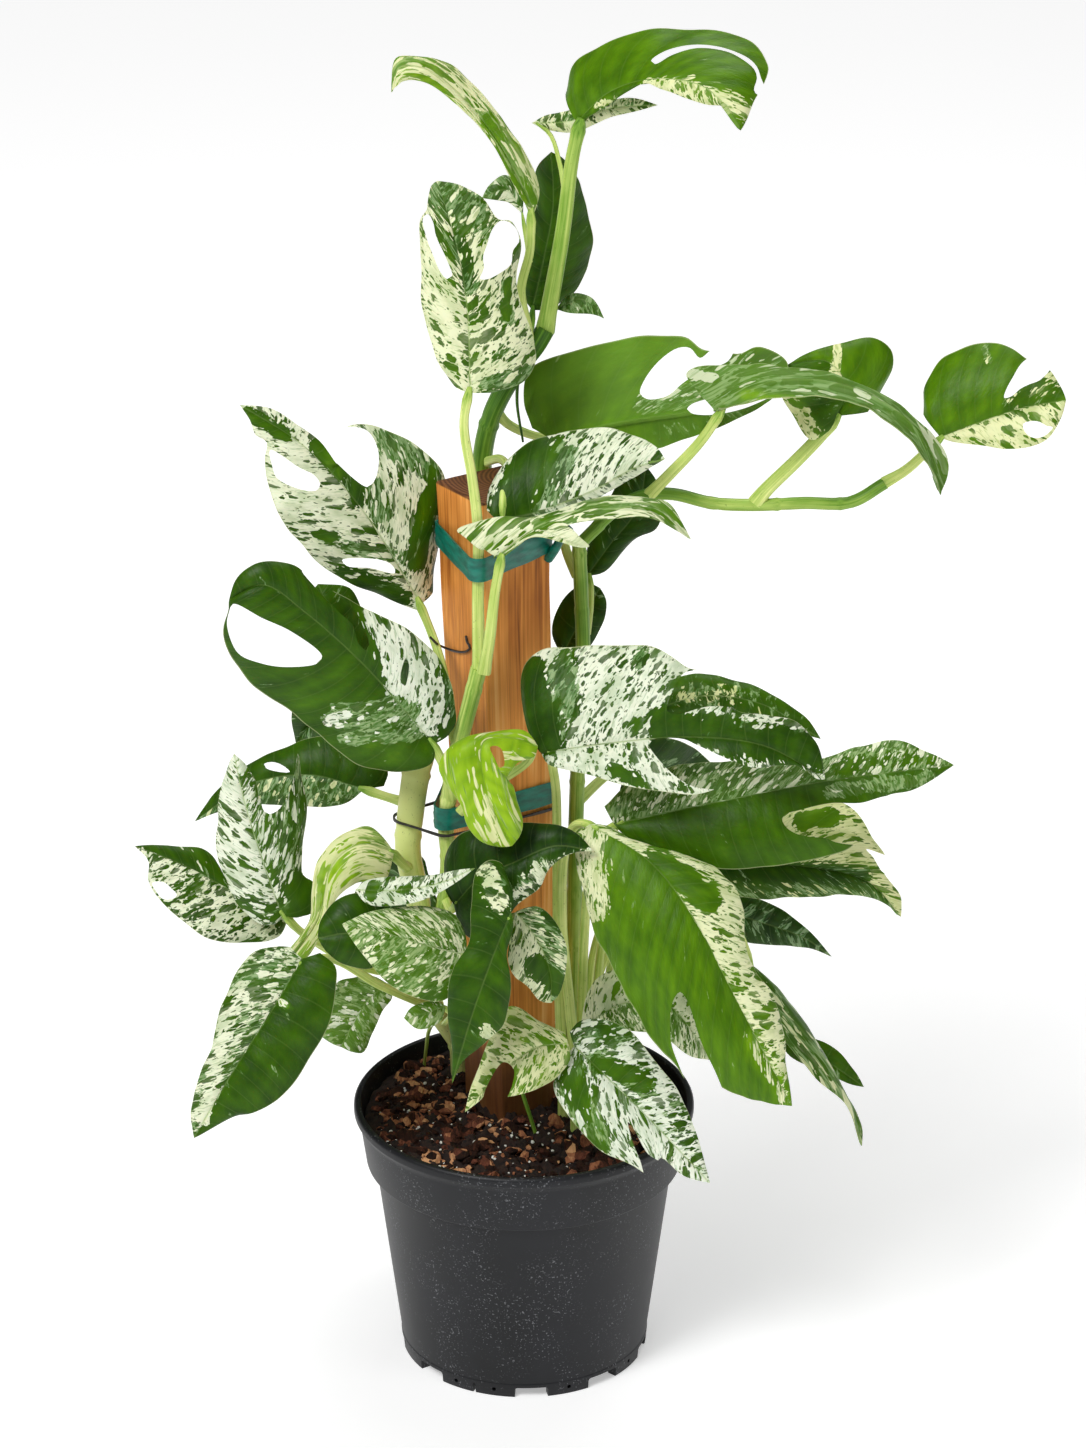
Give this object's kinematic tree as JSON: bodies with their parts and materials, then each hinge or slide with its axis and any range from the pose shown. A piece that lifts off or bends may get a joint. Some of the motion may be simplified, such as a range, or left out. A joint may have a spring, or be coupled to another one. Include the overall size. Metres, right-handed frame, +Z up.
{
  "type": "potted climbing house plant",
  "caption": "Marble flame pothos with cut, marbled leaves, tied to a square wooden stake in a round black nursery pot with a notched foot.",
  "frame": {"origin": "centre of the pot's underside, on the plane that it stands on", "axes": "+Z up along the pot's axis, +X to the right and -Y towards the viewer of the picture"},
  "size_m": [0.6623, 0.3628, 1.0164],
  "materials": {
    "pot": "satin black, scuffed",
    "soil": "damp bark and peat",
    "stake": "rough sawn, dry",
    "tie_tape_upper": "thin green tape",
    "tie_tape_lower": "thin green tape",
    "wire_tie": "dark coated wire",
    "vine_front": "smooth living stem",
    "stem_main": "smooth living stem",
    "stem_left": "smooth living stem",
    "stem_right": "smooth living stem",
    "runner": "smooth living stem",
    "leaf_crown": "waxy living leaf",
    "leaf_crown_small": "waxy living leaf",
    "leaf_curled": "waxy living leaf",
    "leaf_young_left": "waxy living leaf",
    "leaf_shade": "waxy living leaf",
    "leaf_young_right": "waxy living leaf",
    "leaf_cream_upper": "waxy living leaf",
    "leaf_green_underside": "waxy living leaf",
    "leaf_side_on": "waxy living leaf",
    "leaf_yellow_rib": "waxy living leaf",
    "leaf_far_right": "waxy living leaf",
    "leaf_over_stake_back": "waxy living leaf",
    "leaf_over_stake_front": "waxy living leaf",
    "leaf_left_cream": "waxy living leaf",
    "leaf_left_green": "waxy living leaf",
    "leaf_left_behind": "waxy living leaf",
    "leaf_left_low_behind": "waxy living leaf",
    "leaf_left_upright": "waxy living leaf",
    "leaf_left_far": "waxy living leaf",
    "leaf_left_low": "waxy living leaf",
    "leaf_pale_curled": "waxy living leaf",
    "leaf_cream_low": "waxy living leaf",
    "leaf_round_dark": "waxy living leaf",
    "leaf_narrow_marbled": "waxy living leaf",
    "leaf_long_dark": "waxy living leaf",
    "leaf_marbled_low": "waxy living leaf",
    "leaf_dark_drape": "waxy living leaf",
    "leaf_over_soil": "waxy living leaf",
    "leaf_over_rim": "waxy living leaf",
    "leaf_front_right": "waxy living leaf",
    "leaf_right_long": "waxy living leaf",
    "leaf_right_marbled": "waxy living leaf",
    "leaf_lime_twisted": "waxy living leaf",
    "leaf_olive": "waxy living leaf",
    "leaf_yellow_behind": "waxy living leaf",
    "leaf_right_low_grey": "waxy living leaf",
    "leaf_droop_long": "waxy living leaf",
    "leaf_droop_short": "waxy living leaf",
    "leaf_pale_behind": "waxy living leaf",
    "leaf_grey_back_top": "waxy living leaf",
    "leaf_grey_back_low": "waxy living leaf",
    "leaf_grey_green_low": "waxy living leaf",
    "leaf_small_low": "waxy living leaf",
    "leaf_back_right": "waxy living leaf",
    "leaf_back_right_low": "waxy living leaf",
    "leaf_back_left": "waxy living leaf",
    "leaf_back_left_low": "waxy living leaf",
    "leaf_back_middle": "waxy living leaf",
    "leaf_back_top": "waxy living leaf"
  },
  "bodies": {
    "root": {"pot": "pot", "soil": "soil", "stake": "stake", "tie_tape_upper": "tie_tape_upper", "tie_tape_lower": "tie_tape_lower", "wire_tie": "wire_tie", "vine_front": "vine_front", "stem_main": "stem_main", "stem_left": "stem_left", "stem_right": "stem_right", "runner": "runner", "leaf_crown": "leaf_crown", "leaf_crown_small": "leaf_crown_small", "leaf_curled": "leaf_curled", "leaf_young_left": "leaf_young_left", "leaf_shade": "leaf_shade", "leaf_young_right": "leaf_young_right", "leaf_cream_upper": "leaf_cream_upper", "leaf_green_underside": "leaf_green_underside", "leaf_side_on": "leaf_side_on", "leaf_yellow_rib": "leaf_yellow_rib", "leaf_far_right": "leaf_far_right", "leaf_over_stake_back": "leaf_over_stake_back", "leaf_over_stake_front": "leaf_over_stake_front", "leaf_left_cream": "leaf_left_cream", "leaf_left_green": "leaf_left_green", "leaf_left_behind": "leaf_left_behind", "leaf_left_low_behind": "leaf_left_low_behind", "leaf_left_upright": "leaf_left_upright", "leaf_left_far": "leaf_left_far", "leaf_left_low": "leaf_left_low", "leaf_pale_curled": "leaf_pale_curled", "leaf_cream_low": "leaf_cream_low", "leaf_round_dark": "leaf_round_dark", "leaf_narrow_marbled": "leaf_narrow_marbled", "leaf_long_dark": "leaf_long_dark", "leaf_marbled_low": "leaf_marbled_low", "leaf_dark_drape": "leaf_dark_drape", "leaf_over_soil": "leaf_over_soil", "leaf_over_rim": "leaf_over_rim", "leaf_front_right": "leaf_front_right", "leaf_right_long": "leaf_right_long", "leaf_right_marbled": "leaf_right_marbled", "leaf_lime_twisted": "leaf_lime_twisted", "leaf_olive": "leaf_olive", "leaf_yellow_behind": "leaf_yellow_behind", "leaf_right_low_grey": "leaf_right_low_grey", "leaf_droop_long": "leaf_droop_long", "leaf_droop_short": "leaf_droop_short", "leaf_pale_behind": "leaf_pale_behind", "leaf_grey_back_top": "leaf_grey_back_top", "leaf_grey_back_low": "leaf_grey_back_low", "leaf_grey_green_low": "leaf_grey_green_low", "leaf_small_low": "leaf_small_low", "leaf_back_right": "leaf_back_right", "leaf_back_right_low": "leaf_back_right_low", "leaf_back_left": "leaf_back_left", "leaf_back_left_low": "leaf_back_left_low", "leaf_back_middle": "leaf_back_middle", "leaf_back_top": "leaf_back_top"}
  },
  "joints": []
}
